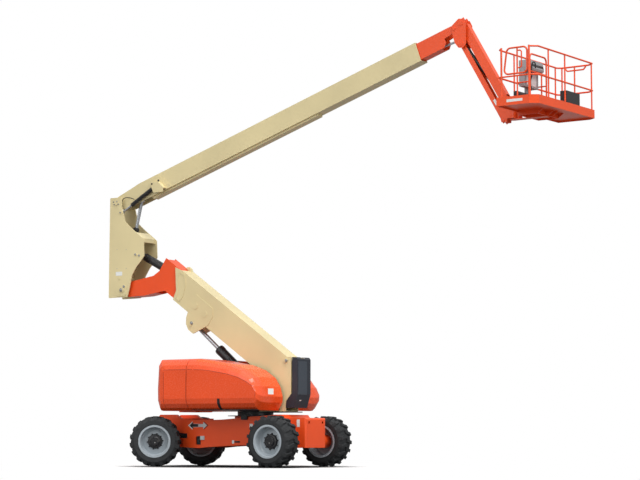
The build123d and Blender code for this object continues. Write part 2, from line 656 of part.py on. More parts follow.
def deck_slab(step, z0, z1):
    """Slab in the basket's outline, its sides moved inwards by a step."""
    x0, x1 = DECK_X
    y0, y1 = DECK_Y
    cut_x = x1 - CORNER_X
    points = ((x0, y0), (cut_x, y0), (x1, y0 + CORNER_Y), (x1, y1 - CORNER_Y), (cut_x, y1), (x0, y1))
    face = Polygon(*inset(points, -step), align=None)
    return Pos(0, 0, z0) * extrude(face, amount=z1 - z0)


def rotator_arm(reach, half, z0, z1):
    """Flat arm with a round end about the rotator's axis."""
    arm = block((0, reach), (-half, half), (z0, z1))
    return arm + Pos(0, 0, (z0 + z1) / 2) * Cylinder(half, z1 - z0)


def platform_deck():
    """Floor, toe boards and the C-shaped arm that holds the basket on the rotator."""
    deck = deck_slab(0, PLATFORM_Z, PLATFORM_Z + TOE_HEIGHT)
    deck -= deck_slab(TOE_WALL, FLOOR_TOP, PLATFORM_Z + TOE_HEIGHT + 1)
    deck -= deck_slab(TOE_WALL, PLATFORM_Z - 1, FLOOR_TOP - 6)
    deck += rotator_arm(DECK_X[0] + 432, 80, PLATFORM_Z - 72, PLATFORM_Z - 60)
    for y, reach in ((-400, 560), (-80, 620), (80, 620), (400, 560)):
        rib = ((DECK_X[0], PLATFORM_Z - 60), (DECK_X[0] + reach - 130, PLATFORM_Z - 60),
               (DECK_X[0] + reach, FLOOR_TOP - 3), (DECK_X[0], FLOOR_TOP - 3))
        deck += plate(rib, y - 6, y + 6)
    deck += block((DECK_X[0], DECK_X[0] + 12), (-406, 406), (PLATFORM_Z - 60, FLOOR_TOP - 3))
    deck += block((DECK_X[0] + 420, DECK_X[0] + 432), (-406, 406), (PLATFORM_Z - 60, FLOOR_TOP - 3))
    deck += block((125, 150), (-75, 75), (PLATFORM_Z - 61, 7010))
    deck += rotator_arm(150, 75, 6990, 7010)
    return PLATFORM_PLACE * deck


def rail(points, bend, closed=False, radius=RAIL_R):
    """Round rail bent through corner points."""
    path = FilletPolyline(*points, radius=bend, close=closed)
    return sweep(Plane(origin=path @ 0, z_dir=path % 0) * Circle(radius), path=path)


RAIL_INSET = TOE_WALL + RAIL_R + 3
RAIL_X = (DECK_X[0] + RAIL_INSET, DECK_X[1] - RAIL_INSET)
RAIL_Y = (DECK_Y[0] + RAIL_INSET, DECK_Y[1] - RAIL_INSET)
GATE_X = (470, 968)
GATE_POSTS = (418, 1010)
MID_Z = 7342
TOP_Z = RAIL_TOP - RAIL_R
GUARD_X, GUARD_Y = 640, (-500, 150)


def rail_loop(z):
    """Rail round the basket from one gate post to the other."""
    (x0, x1), (y0, y1) = RAIL_X, RAIL_Y
    points = ((GATE_POSTS[1], y0), (x1, y0 + CORNER_Y), (x1, y1 - CORNER_Y), (GATE_POSTS[1], y1),
              (GATE_POSTS[0], y1), (x0, y1 - 70), (x0, y0 + 70), (GATE_POSTS[0], y0))
    return rail([(x, y, z) for x, y in points], 45)


def platform_rails():
    """Rails, posts and the console's guard."""
    (x0, x1), (y0, y1) = RAIL_X, RAIL_Y
    rails = rail_loop(TOP_Z) + rail_loop(MID_Z)
    rails += tube((x0 - 5, y0, MID_Z), (GATE_POSTS[1] + 5, y0, MID_Z), POST_R)
    low, drop = TOP_Z - 75, 60
    rails += rail(((480, y1, TOP_Z), (480 + drop, y1, low), (960 - drop, y1, low), (960, y1, TOP_Z)), 25,
                  radius=POST_R)
    posts = [(x1, y) for y in (y0 + 500, y0 + 1150, y1 - CORNER_Y - 40)]
    posts += [(x0, y) for y in (y0 + 130, -577, 500, y1 - 130)]
    posts += [(GATE_POSTS[0] + 3, y1), (700, y1)]
    for x, y in posts:
        rails += tube((x, y, FLOOR_TOP), (x, y, TOP_Z), POST_R)
    for x in GATE_POSTS:
        rails += tube((x, y0, FLOOR_TOP), (x, y0, RAIL_TOP + 2), RAIL_R + 2)
    rails += tube((758, y0, FLOOR_TOP), (758, y0, MID_Z), POST_R - 1)
    ya, yb = GUARD_Y
    guard = [(GUARD_X, y, z) for y, z in ((ya, FLOOR_TOP), (ya, TOP_Z + 10), (yb, TOP_Z + 10), (yb, FLOOR_TOP))]
    rails += rail(guard, 90)
    rails += tube((GUARD_X, ya, 7550), (GUARD_X, yb, 7550), POST_R)
    for y in GUARD_Y:
        rails += tube((x0, y, MID_Z + 3), (GUARD_X, y, MID_Z + 3), POST_R - 2)
    return PLATFORM_PLACE * rails


def platform_gate():
    """Bent loop with an upright bar and a small hand loop."""
    y = RAIL_Y[0]
    x0, x1 = GATE_X
    z0, z1 = MID_Z + 45, TOP_Z
    gate = rail([(x, y, z) for x, z in ((x0, z0), (x0 + 70, z1), (x1, z1), (x1, z0))], 85, closed=True)
    gate += tube((758, y, z0), (758, y, z1), POST_R)
    hand = ((750, 7490), (850, 7490), (850, z1 - 60), (750, z1 - 60))
    return PLATFORM_PLACE * (gate + rail([(x, y, z) for x, z in hand], 40, radius=POST_R - 2))


CONSOLE_Y = (-430, 105)


def platform_console():
    """Control box on its stand, hung on the inner side of the basket."""
    low, high = CONSOLE_Y
    stand = block((363, 487), (low, high), (7285, 7596))
    head = plate(((363, 7595), (600, 7595), (616, 7640), (590, 7790), (363, 7790)), low, high, 12)
    leg = block((363, 400), (-220, -110), (FLOOR_TOP, 7290))
    return PLATFORM_PLACE * (stand + head + leg)


def platform_box():
    """Low box along the inner toe board, below the console."""
    side = ((405, FLOOR_TOP), (505, FLOOR_TOP), (505, 7110), (480, 7150), (405, 7150))
    return PLATFORM_PLACE * plate(side, -720, 440)


def platform_tray():
    """Open tool tray at the outer toe board."""
    tray = block((1000, 1140), (30, 560), (FLOOR_TOP, 7200))
    return PLATFORM_PLACE * (tray - block((1006, 1134), (36, 554), (FLOOR_TOP + 6, 7201)))


def platform_trays():
    return platform_box() + platform_tray()


# ================================================================ the machine
def pieces():
    made = {
        "chassis_frame": chassis_frame(),
        "axles": axles(),
        "turntable_base": turntable_base(),
        "turntable_cheeks": turntable_cheeks(),
        "counterweight": counterweight(),
        "end_cover": end_cover(),
        "engine": engine(),
        "tower_base": tower_base(),
        "tower_fly": tower_fly(),
        "upright": upright(),
        "main_boom": main_boom(),
        "main_fly": main_fly(),
        "jib_head": jib_head(),
        "jib_upper_arm": jib_arm(JIB_TOP, JIB_UPPER_DEPTH, -1),
        "jib_lower_arm": jib_arm(JIB_LOW, JIB_LOWER_DEPTH, 1),
        "jib_bracket": jib_bracket(),
        "platform_deck": platform_deck(),
        "platform_rails": platform_rails(),
        "platform_gate": platform_gate(),
        "platform_console": platform_console(),
        "platform_trays": platform_trays(),
    }
    rubber = tyre()
    for name, side in SIDES:
        made[f"hood_{name}"] = hood(side)
        made[f"knuckle_{name}"] = knuckle(side)
        for end in ("steer", "drive"):
            made[f"tyre_{end}_{name}"] = wheel_place(end, side) * rubber
            made[f"rim_{end}_{name}"] = wheel_place(end, side) * rim(side)
    for name in CYLINDERS:
        made[f"{name}_barrel"] = barrel(name)
        made[f"{name}_rod"] = rod(name)
    return made


def middle_of(solids):
    """Point under the middle of the box round all the solids."""
    boxes = [solid.bounding_box() for solid in solids]
    low = [min(getattr(box.min, axis) for box in boxes) for axis in "XYZ"]
    high = [max(getattr(box.max, axis) for box in boxes) for axis in "XYZ"]
    return ((low[0] + high[0]) / 2, (low[1] + high[1]) / 2, low[2])


MACHINE = pieces()
MIDDLE = middle_of(MACHINE.values())

os.makedirs("parts", exist_ok=True)
for piece_name, solid in MACHINE.items():
    export_step(Pos(-MIDDLE[0], -MIDDLE[1], -MIDDLE[2]) * solid, f"parts/{piece_name}.step")
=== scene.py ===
import json
from math import cos, hypot, pi, radians, sin

import bmesh
import bpy
from mathutils import Matrix, Vector


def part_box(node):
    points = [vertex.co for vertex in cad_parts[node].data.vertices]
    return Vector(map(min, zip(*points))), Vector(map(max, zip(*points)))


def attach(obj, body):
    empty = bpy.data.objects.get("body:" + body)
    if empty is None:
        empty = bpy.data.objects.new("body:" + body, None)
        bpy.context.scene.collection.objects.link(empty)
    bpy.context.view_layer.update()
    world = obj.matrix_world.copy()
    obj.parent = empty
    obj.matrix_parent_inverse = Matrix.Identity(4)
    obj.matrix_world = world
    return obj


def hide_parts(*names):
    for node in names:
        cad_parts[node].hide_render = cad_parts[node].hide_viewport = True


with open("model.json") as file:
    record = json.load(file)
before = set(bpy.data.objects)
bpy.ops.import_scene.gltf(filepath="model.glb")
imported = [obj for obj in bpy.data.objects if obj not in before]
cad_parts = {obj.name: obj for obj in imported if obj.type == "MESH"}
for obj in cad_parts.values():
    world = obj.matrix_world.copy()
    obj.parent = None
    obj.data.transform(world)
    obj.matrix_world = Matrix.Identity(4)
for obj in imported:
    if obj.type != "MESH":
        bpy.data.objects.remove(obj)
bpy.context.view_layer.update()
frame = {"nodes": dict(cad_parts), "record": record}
scene = bpy.context.scene
scene.view_settings.view_transform = "Standard"

# ---------------------------------------------------------------- places
# Places and sizes below are in millimetres unless they say metres, with X = 0 midway between the axles.
AXLE_X, AXLE_Z = 1525, 522.5
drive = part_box("tyre_drive_right")
SHIFT = (drive[0][0] + drive[1][0]) / 2 - AXLE_X / 1000
X, Y, Z = Vector((1, 0, 0)), Vector((0, 1, 0)), Vector((0, 0, 1))


def place(x, y, z):
    """Row-frame point of a point in metres from midway between the axles."""
    return Vector((x + SHIFT, y, z))


def mm(x, y, z):
    """The same for a point in millimetres."""
    return place(x / 1000, y / 1000, z / 1000)


# ---------------------------------------------------------------- camera
CAMERA_AT = (23.70, -34.31, 0.658)  # metres
CAMERA_AZIMUTH = 32.303
CAMERA_PITCH = 5.577
LENS = 112.18

camera_data = bpy.data.cameras.new("camera")
camera_data.lens = LENS
camera_data.sensor_width = 36
camera_data.clip_end = 500
camera = bpy.data.objects.new("camera", camera_data)
scene.collection.objects.link(camera)
heading = Matrix.Rotation(radians(CAMERA_AZIMUTH), 4, "Z")
pitch = Matrix.Rotation(radians(90 + CAMERA_PITCH), 4, "X")
camera.matrix_world = Matrix.Translation(place(*CAMERA_AT)) @ (heading @ pitch)
scene.camera = camera

# ---------------------------------------------------------------- shader helpers
NOISE_LOW, NOISE_HIGH = 0.3, 0.7  # nearly all values of a noise lie between these


def shade(colour, factor):
    """The colour made lighter or darker."""
    return tuple(min(1.0, c * factor) for c in colour)


def grey(value):
    """A grey of one value."""
    return (value,) * 3


def set_ramp(ramp, stops):
    """Give a colour ramp its stops, which are (position, colour) pairs."""
    while len(ramp.elements) < len(stops):
        ramp.elements.new(0.5)
    for element, (position, colour) in zip(ramp.elements, stops):
        element.position = position
        element.color = (*colour, 1.0)


class Shader:
    """A node material with short ways to add and join nodes."""

    def __init__(self, name):
        self.material = bpy.data.materials.new(name)
        self.material.use_nodes = True
        self.tree = self.material.node_tree
        self.nodes = self.tree.nodes
        self.bsdf = self.nodes["Principled BSDF"]
        self.coords = self.nodes.new("ShaderNodeTexCoord")

    def add(self, kind, **values):
        """New node; each value sets a property of it, or else the constant of an input."""
        node = self.nodes.new(kind)
        for key, value in values.items():
            if hasattr(node, key):
                setattr(node, key, value)
            else:
                node.inputs[key.replace("_", " ")].default_value = value
        return node

    def join(self, output, target):
        """Link a node's output to an input."""
        self.tree.links.new(output, target)

    def noise(self, scale, detail):
        """Noise that is fixed to the object."""
        node = self.add("ShaderNodeTexNoise", Scale=scale, Detail=detail)
        self.join(self.coords.outputs["Object"], node.inputs["Vector"])
        return node.outputs["Fac"]

    def ramp(self, source, stops):
        """Colour ramp; stops are (position, colour) pairs."""
        node = self.add("ShaderNodeValToRGB")
        set_ramp(node.color_ramp, stops)
        self.join(source, node.inputs["Fac"])
        return node.outputs["Color"]

    def blend(self, factor, first, second, kind="MIX"):
        """Mix of two colours; each of the three is a constant or a node's output."""
        node = self.add("ShaderNodeMix", data_type="RGBA", blend_type=kind)
        for value, socket in ((factor, node.inputs[0]), (first, node.inputs[6]), (second, node.inputs[7])):
            if isinstance(value, (int, float)):
                socket.default_value = value
            elif isinstance(value, tuple):
                socket.default_value = (*value, 1.0)
            else:
                self.join(value, socket)
        return node.outputs[2]

    def bump(self, source, strength, distance):
        """Fine relief; the distance is in metres."""
        node = self.add("ShaderNodeBump", Strength=strength, Distance=distance)
        self.join(source, node.inputs["Height"])
        self.join(node.outputs["Normal"], self.bsdf.inputs["Normal"])

    def spread(self, source, low, high):
        """Spread a noise over a range."""
        node = self.add("ShaderNodeMapRange", To_Min=low, To_Max=high)
        node.inputs["From Min"].default_value = NOISE_LOW
        node.inputs["From Max"].default_value = NOISE_HIGH
        self.join(source, node.inputs["Value"])
        return node.outputs["Result"]


# ---------------------------------------------------------------- materials
DUST = (0.45, 0.40, 0.33)
RUBBER_DUST = (0.16, 0.15, 0.14)


def paint(name, colour, rough=(0.28, 0.42), coat=0.12, dust_share=0.03):
    """Paint or plastic: faint drift in tone, fine orange peel, thin dust."""
    s = Shader(name)
    broad = s.noise(0.9, 3)
    fine = s.noise(38, 6)
    tone = s.ramp(broad, ((0.32, shade(colour, 0.93)), (0.68, shade(colour, 1.05))))
    specks = s.ramp(fine, ((0.56, grey(0)), (0.72, grey(1))))
    tone = s.blend(s.blend(1.0, specks, grey(dust_share), "MULTIPLY"), tone, DUST)
    s.join(tone, s.bsdf.inputs["Base Color"])
    s.join(s.spread(fine, *rough), s.bsdf.inputs["Roughness"])
    s.bsdf.inputs["Specular IOR Level"].default_value = 0.35
    s.bsdf.inputs["Coat Weight"].default_value = coat
    s.bsdf.inputs["Coat Roughness"].default_value = 0.18
    s.bump(s.noise(260, 2), 0.03, 0.0006)
    return s.material


def metal(name, colour, rough=(0.2, 0.34)):
    """Plated steel with a fine grain."""
    s = Shader(name)
    grain = s.noise(60, 5)
    tone = s.ramp(grain, ((0.3, shade(colour, 0.85)), (0.7, shade(colour, 1.1))))
    s.join(tone, s.bsdf.inputs["Base Color"])
    s.join(s.spread(grain, *rough), s.bsdf.inputs["Roughness"])
    s.bsdf.inputs["Metallic"].default_value = 0.65
    s.bump(grain, 0.05, 0.001)
    return s.material


def rubber(name, colour):
    """Matt rubber with dust in its grain."""
    s = Shader(name)
    broad, fine = s.noise(6, 4), s.noise(120, 4)
    tone = s.ramp(broad, ((0.3, shade(colour, 0.8)), (0.7, shade(colour, 1.25))))
    dusty = s.ramp(fine, ((0.5, grey(0)), (0.8, grey(0.22))))
    s.join(s.blend(dusty, tone, RUBBER_DUST), s.bsdf.inputs["Base Color"])
    s.join(s.spread(fine, 0.62, 0.85), s.bsdf.inputs["Roughness"])
    s.bump(fine, 0.25, 0.003)
    return s.material


ORANGE = (0.80, 0.078, 0.012)
CREAM = (0.66, 0.56, 0.31)
MATERIALS = {
    "orange": paint("orange_paint", ORANGE),
    "hood": paint("hood_paint", ORANGE, rough=(0.2, 0.32), coat=0.5),
    "weight": paint("tail_paint", ORANGE, rough=(0.2, 0.34), coat=0.5),
    "cream": paint("cream_paint", CREAM),
    "dark": paint("dark_paint", (0.02, 0.02, 0.023), dust_share=0.3),
    "barrel": paint("black_paint", (0.012, 0.012, 0.014), rough=(0.25, 0.4), dust_share=0.15),
    "cover": paint("cover_plastic", (0.022, 0.026, 0.036), rough=(0.35, 0.5), coat=0.0),
    "engine": paint("engine_paint", (0.03, 0.03, 0.03), rough=(0.5, 0.6), coat=0.0),
    "tray": paint("tray_plastic", (0.03, 0.03, 0.03), rough=(0.5, 0.6), coat=0.0),
    "console": paint("console_plastic", (0.33, 0.35, 0.36), rough=(0.4, 0.55), coat=0.0),
    "rod": metal("chrome_rod", (0.46, 0.48, 0.51)),
    "rim": paint("rim_paint", (0.33, 0.37, 0.40), rough=(0.3, 0.4), coat=0.2),
    "tyre": rubber("tyre_rubber", (0.011, 0.013, 0.015)),
}
BLACK = MATERIALS["barrel"]
LABEL = paint("blank_label", (0.70, 0.71, 0.69), rough=(0.3, 0.45), coat=0.2)
LINE = paint("shadow_line", (0.20, 0.018, 0.008), rough=(0.6, 0.7), coat=0.0)
STEEL = metal("plated_steel", (0.34, 0.34, 0.33), rough=(0.3, 0.5))
GREY = paint("grey_panel", (0.52, 0.54, 0.55), rough=(0.3, 0.4), coat=0.2)
COVER_PANEL = paint("cover_panel", (0.045, 0.055, 0.07), coat=0.0)
CONSOLE_PANEL = paint("console_grey", (0.72, 0.74, 0.75))

RUNNING_GEAR = ("axles", "knuckle_right", "knuckle_left")  # painted like the chassis
slots = {part["node"]: part["material_slot"] for part in frame["record"]["subparts"]}
for node_name, node in frame["nodes"].items():
    paint_slot = "orange" if node_name in RUNNING_GEAR else slots[node_name]
    node.data.materials.clear()
    node.data.materials.append(MATERIALS[paint_slot])


# ---------------------------------------------------------------- views
class View:
    """A drawing plane outside the machine: origin, right and up; it looks along -normal."""

    def __init__(self, origin, right, up):
        self.origin, self.right, self.up = origin, right.normalized(), up.normalized()
        self.normal = self.right.cross(self.up)

    def at(self, a, b, out=0.0):
        """Point at a and b in the plane, and a distance in front of it."""
        return self.origin + (self.right * a + self.up * b + self.normal * out) / 1000

    def touch(self, node, a, b):
        """Point of a node's surface that is seen at a and b."""
        hit, point, _, _ = frame["nodes"][node].ray_cast(self.at(a, b), -self.normal)
        if not hit:
            raise ValueError(f"nothing of {node} at {a}, {b}")
        return point


SIDE_AWAY, FRONT_AWAY, CORNER_AWAY, TOWER_AWAY = 1600, 9000, 3000, 600  # from the middle of the machine
TOWER_PIVOT, TOWER_ANGLE = (1329, 2167), -35.3  # foot pin in X and Z, and the slope of the raised tower
tower_cos, tower_sin = cos(radians(TOWER_ANGLE)), sin(radians(TOWER_ANGLE))

RIGHT = View(mm(0, -SIDE_AWAY, 0), X, Z)
LEFT = View(mm(0, SIDE_AWAY, 0), -X, Z)
FRONT = View(mm(FRONT_AWAY, 0, 0), Y, Z)
TOP = View(mm(0, 0, 0), X, Y)
NEAR_CORNER = View(mm(CORNER_AWAY, -CORNER_AWAY, 0), Vector((1, 0.75, 0)), Z)
TOWER_RIGHT = View(
    mm(TOWER_PIVOT[0], -TOWER_AWAY, TOWER_PIVOT[1]),
    Vector((tower_cos, 0, tower_sin)),
    Vector((-tower_sin, 0, tower_cos)),
)
SIDES = (("right", RIGHT, 1), ("left", LEFT, -1))  # name, view, and the way that X runs in the view

# ---------------------------------------------------------------- geometry helpers
CORNER_STEPS = 4
BEVEL_SEGMENTS, BEVEL_ANGLE = 2, 35  # edges sharper than this many degrees are rounded
HOSE_SMOOTHNESS = 3


class Piece:
    """Mesh gathered from simple solids, then given one material and carried by one body."""

    def __init__(self):
        self.points, self.faces = [], []

    def add(self, points, faces):
        """Add points, and faces that count from the first of them."""
        first = len(self.points)
        self.points += [tuple(point) for point in points]
        self.faces += [tuple(first + i for i in face) for face in faces]

    def prism(self, outline, view, base, depth):
        """Outline drawn in a view, from a distance in front of its plane, made deep towards the viewer."""
        count = len(outline)
        points = [view.at(a, b, base) for a, b in outline]
        points += [view.at(a, b, base + depth) for a, b in outline]
        faces = [tuple(range(count)), tuple(range(count, 2 * count))]
        faces += [(i, (i + 1) % count, count + (i + 1) % count, count + i) for i in range(count)]
        self.add(points, faces)

    def ribbon(self, points, width, view, node, lift=1.0, step=45.0, across=1):
        """Band along a line, laid on a node's surface as it is seen in a view."""
        rows = [[view.touch(node, a, b) for a, b in row] for row in band(points, width, step, across)]
        size = across + 1
        below = [point for row in rows for point in row]
        above = [point + view.normal * lift / 1000 for point in below]
        starts = [i * size + k for i in range(len(rows) - 1) for k in range(across)]
        faces = [(at, at + 1, at + size + 1, at + size) for at in starts]
        top = [tuple(i + len(below) for i in reversed(face)) for face in faces]
        rim = list(range(size)) + [i * size + across for i in range(1, len(rows))]
        rim += [len(below) - 1 - k for k in range(1, size)] + [i * size for i in range(len(rows) - 2, 0, -1)]
        sides = [(a, b, b + len(below), a + len(below)) for a, b in zip(rim, rim[1:] + rim[:1])]
        self.add(below + above, faces + top + sides)

    def turned(self, profile, at, axis, sides, closed=False):
        """Round solid from (distance along the axis, radius) pairs; a closed profile makes a ring."""
        axis = axis.normalized()
        one = axis.orthogonal().normalized()
        two = axis.cross(one)
        points = []
        for along, radius in profile:
            for i in range(sides):
                angle = 2 * pi * i / sides
                points.append(at + (axis * along + (one * cos(angle) + two * sin(angle)) * radius) / 1000)
        last = len(profile) - 1
        steps = [(k, k + 1) for k in range(last)]
        faces = []
        if closed:
            steps.append((0, last))
        else:
            faces = [tuple(range(sides)), tuple(range(last * sides, (last + 1) * sides))]
        for lower, upper in steps:
            for i in range(sides):
                j, low, high = (i + 1) % sides, lower * sides, upper * sides
                faces.append((low + i, low + j, high + j, high + i))
        self.add(points, faces)

    def bolt(self, at, axis, radius):
        """Washer and six-sided head; the washer's edge is sunk, so that it sits on a slightly curved face."""
        washer = ((-2, radius * 1.5), (radius * 0.25, radius * 1.5), (radius * 0.3, radius * 1.4))
        self.turned(washer, at, axis, 16)
        self.turned(((0, radius), (radius * 0.8, radius), (radius, radius * 0.8)), at, axis, 6)

    def make(self, name, body, material, slot, bevel):
        """Object of the scene with this mesh, rounded edges, one material and one body."""
        mesh = bpy.data.meshes.new(name)
        mesh.from_pydata(self.points, [], self.faces)
        work = bmesh.new()
        work.from_mesh(mesh)
        bmesh.ops.recalc_face_normals(work, faces=work.faces)
        work.to_mesh(mesh)
        work.free()
        piece = bpy.data.objects.new(name, mesh)
        scene.collection.objects.link(piece)
        edges = piece.modifiers.new("edges", "BEVEL")
        edges.width = bevel / 1000
        edges.segments = BEVEL_SEGMENTS
        edges.limit_method = "ANGLE"
        edges.angle_limit = radians(BEVEL_ANGLE)
        mesh.materials.append(material)
        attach(piece, body)
        return piece


def band(points, width, step, across):
    """Rows of points across a line, close enough together to follow a curved face."""
    line = []
    for (ax, ab), (bx, bb) in zip(points, points[1:]):
        parts = max(1, round(hypot(bx - ax, bb - ab) / step))
        line += [(ax + (bx - ax) * i / parts, ab + (bb - ab) * i / parts) for i in range(parts)]
    line.append(points[-1])
    offsets = [width * (k / across - 0.5) for k in range(across + 1)]
    rows = []
    for i, (a, b) in enumerate(line):
        before, after = line[max(i - 1, 0)], line[min(i + 1, len(line) - 1)]
        da, db = after[0] - before[0], after[1] - before[1]
        length = hypot(da, db)
        rows.append([(a - db / length * o, b + da / length * o) for o in offsets])
    return rows


def rounded(a0, a1, b0, b1, radius):
    """Rectangle with rounded corners."""
    corners = ((a1 - radius, b1 - radius, 0), (a0 + radius, b1 - radius, 90),
               (a0 + radius, b0 + radius, 180), (a1 - radius, b0 + radius, 270))
    points = []
    for a, b, start in corners:
        for i in range(CORNER_STEPS + 1):
            angle = radians(start + 90 * i / CORNER_STEPS)
            points.append((a + radius * cos(angle), b + radius * sin(angle)))
    return points


def mirrored(points, sign):
    """The same points as seen in the view of either side."""
    return [(a * sign, b) for a, b in points]


def laid(name, body, node, view, points, width, material, slot, bevel, **shape):
    """One band as a piece of its own: a label, panel or strip."""
    piece = Piece()
    piece.ribbon(points, width, view, node, **shape)
    piece.make(name, body, material, slot, bevel)


def hose(name, points, radius, body):
    """Black hose or cable of fixed shape between two fittings."""
    curve = bpy.data.curves.new(name, "CURVE")
    curve.dimensions = "3D"
    curve.bevel_depth = radius / 1000
    curve.bevel_resolution = HOSE_SMOOTHNESS
    spline = curve.splines.new("NURBS")
    spline.points.add(len(points) - 1)
    for point, values in zip(spline.points, points):
        point.co = (*mm(*values), 1.0)
    spline.order_u = 3
    spline.use_endpoint_u = True
    curve.materials.append(BLACK)
    piece = bpy.data.objects.new(name, curve)
    scene.collection.objects.link(piece)
    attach(piece, body)


# ---------------------------------------------------------------- wheels
STEER_TURN = 30.0
KINGPIN_Y, KINGPIN_OFFSET = 785, 210
NUTS, NUT_CIRCLE = 10, 160
HUB = ((50, 152), (84, 150), (96, 140), (100, 104), (120, 98), (128, 84), (129, 30))
NUT = ((52, 15), (84, 15), (90, 11))
PLUG, PLUG_DROP = ((126, 13), (133, 13), (136, 8)), 30


def wheel(end, side_name, side):
    """Black hub with its ring of nuts in the middle of the rim, and a plug in the hub."""
    axis = Y * side
    centre = mm(AXLE_X, side * (KINGPIN_Y + KINGPIN_OFFSET), AXLE_Z)
    if end == "steer":
        turn = radians(STEER_TURN)
        axis = Vector((-sin(turn), cos(turn), 0)) * side
        centre = mm(-AXLE_X, side * KINGPIN_Y, AXLE_Z) + axis * KINGPIN_OFFSET / 1000
    body = f"wheel_{end}_{side_name}"
    hub = Piece()
    hub.turned(HUB, centre, axis, 40)
    one = axis.orthogonal().normalized()
    two = axis.cross(one)
    for i in range(NUTS):
        angle = 2 * pi * i / NUTS
        reach = (one * cos(angle) + two * sin(angle)) * NUT_CIRCLE / 1000
        hub.turned(NUT, centre + reach, axis, 6)
    hub.make(f"hub_{end}_{side_name}", body, BLACK, "dark", 2.5)
    plug = Piece()
    plug.turned(PLUG, centre - Z * PLUG_DROP / 1000, axis, 6)
    plug.make(f"hub_plug_{end}_{side_name}", body, STEEL, "rod", 1.0)


for side_name, side in (("right", -1), ("left", 1)):
    for end in ("steer", "drive"):
        wheel(end, side_name, side)

# ---------------------------------------------------------------- chassis
CHASSIS_HALF = 500
ON_CHASSIS = CHASSIS_HALF - SIDE_AWAY  # from the plane of a side view to the chassis side
PLATE_SUNK, PLATE_DEPTH = 0.5, 1.2
ARROW = ((0, 0), (0, 30), (125, 30), (125, 74), (222, 0), (125, -74), (125, -30), (0, -30))
ARROWS_X, ARROWS_Z, ARROW_GAP = -669, 850, 2
BORDER_GROW, ARROW_LIFT = 1.16, 0.4
ARROW_KINDS = (  # name, way along X, border's material, arrow's material, slot
    ("front", 1, LINE, GREY, "rim"),
    ("back", -1, LABEL, BLACK, "dark"),
)


def arrow_outline(sign, way, grow):
    """Arrow on the chassis side, as drawn in the view of that side."""
    return [(sign * (ARROWS_X + way * (a * grow + ARROW_GAP)), ARROWS_Z + b * grow) for a, b in ARROW]


for side_name, view, sign in SIDES:
    for name, way, border_material, material, slot in ARROW_KINDS:
        border, arrow = Piece(), Piece()
        border.prism(arrow_outline(sign, way, BORDER_GROW), view, ON_CHASSIS - PLATE_SUNK, PLATE_DEPTH)
        arrow.prism(arrow_outline(sign, way, 1.0), view, ON_CHASSIS + ARROW_LIFT, PLATE_DEPTH)
        border.make(f"arrow_border_{name}_{side_name}", "chassis", border_material, slot, 0.3)
        arrow.make(f"arrow_{name}_{side_name}", "chassis", material, slot, 0.3)

BLOCK_SUNK = 1
grey_box = Piece()
grey_box.prism(rounded(-603, -500, 553, 635, 10), RIGHT, ON_CHASSIS - BLOCK_SUNK, 26)
grey_box.make("connector_box", "chassis", GREY, "rim", 4)

BLACK_BLOCKS = (  # outline, depth
    (rounded(428, 575, 962, 1075, 8), 40),
    (rounded(249, 386, 496, 530, 6), 6),
    (rounded(-1125, -950, 590, 690, 8), 8),
    (rounded(-690, -604, 455, 632, 8), 12),
)
chassis_black = Piece()
for outline, depth in BLACK_BLOCKS:
    chassis_black.prism(outline, RIGHT, ON_CHASSIS - BLOCK_SUNK, depth)
chassis_black.make("chassis_black_parts", "chassis", BLACK, "dark", 3)

chassis_labels = Piece()
for outline in (rounded(186, 240, 478, 545, 5), rounded(622, 700, 776, 880, 6)):
    chassis_labels.prism(outline, RIGHT, ON_CHASSIS - PLATE_SUNK, 1.5)
chassis_labels.ribbon(((1690, 890), (1765, 890)), 150, RIGHT, "chassis_frame", 1.5)
chassis_labels.make("chassis_labels", "chassis", LABEL, "rim", 0.4)

SWING_X, SWING_SIDES = 430, 48
GUARD, GUARD_Z = ((0, 440), (0, 575), (12, 575), (12, 440)), 1040
guard = Piece()
guard.turned(GUARD, mm(SWING_X, 0, GUARD_Z), Z, SWING_SIDES, closed=True)
guard.make("swing_guard", "chassis", BLACK, "dark", 2)

# ---------------------------------------------------------------- turntable floor and drum
FLOOR_PLATES = (  # outline, underside, thickness
    (rounded(-468, 1180, -1060, 1060, 60), 1156, 12),
    (rounded(480, 1440, -250, 250, 30), 1110, 20),
)
DRUM = ((1056, 372), (1120, 372), (1124, 340), (1158, 340))
floor_plate = Piece()
for outline, underside, thickness in FLOOR_PLATES:
    floor_plate.prism(outline, TOP, underside, thickness)
floor_plate.turned(DRUM, mm(SWING_X, 0, 0), Z, SWING_SIDES)
plate_piece = floor_plate.make("turntable_floor", "turntable", MATERIALS["dark"], "dark", 3)
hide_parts("turntable_base")

# ---------------------------------------------------------------- hoods
HOOD_LINE_WIDTH = 8
HOOD_LINES = (
    ((-300, 1986), (20, 1965), (526, 1883), (800, 1810),
     (1010, 1718), (1148, 1628), (1222, 1512), (1216, 1420)),
    ((-470, 1987), (-340, 1986)),
)
HOOD_STRIP = ((322, 1385), (300, 1165))
TAIL_LINES = (  # line, width
    (((-1060, 1987), (-500, 1988)), 8),
    (((-1062, 1170), (-1062, 1980)), 7),
    (((-492, 1170), (-492, 2180)), 7),
)
for side_name, view, sign in SIDES:
    body = f"hood_{side_name}"
    lines = Piece()
    for line in HOOD_LINES:
        lines.ribbon(mirrored(line, sign), HOOD_LINE_WIDTH, view, body)
    lines.make(f"hood_line_{side_name}", body, LINE, "hood", 0.3)
    laid(f"hood_strip_{side_name}", body, body, view, mirrored(HOOD_STRIP, sign), 66, BLACK, "dark", 1,
         lift=3.0, step=20, across=3)
    tail = Piece()
    for line, width in TAIL_LINES:
        tail.ribbon(mirrored(line, sign), width, view, "counterweight")
    tail.make(f"tail_line_{side_name}", "turntable", LINE, "weight", 0.3)

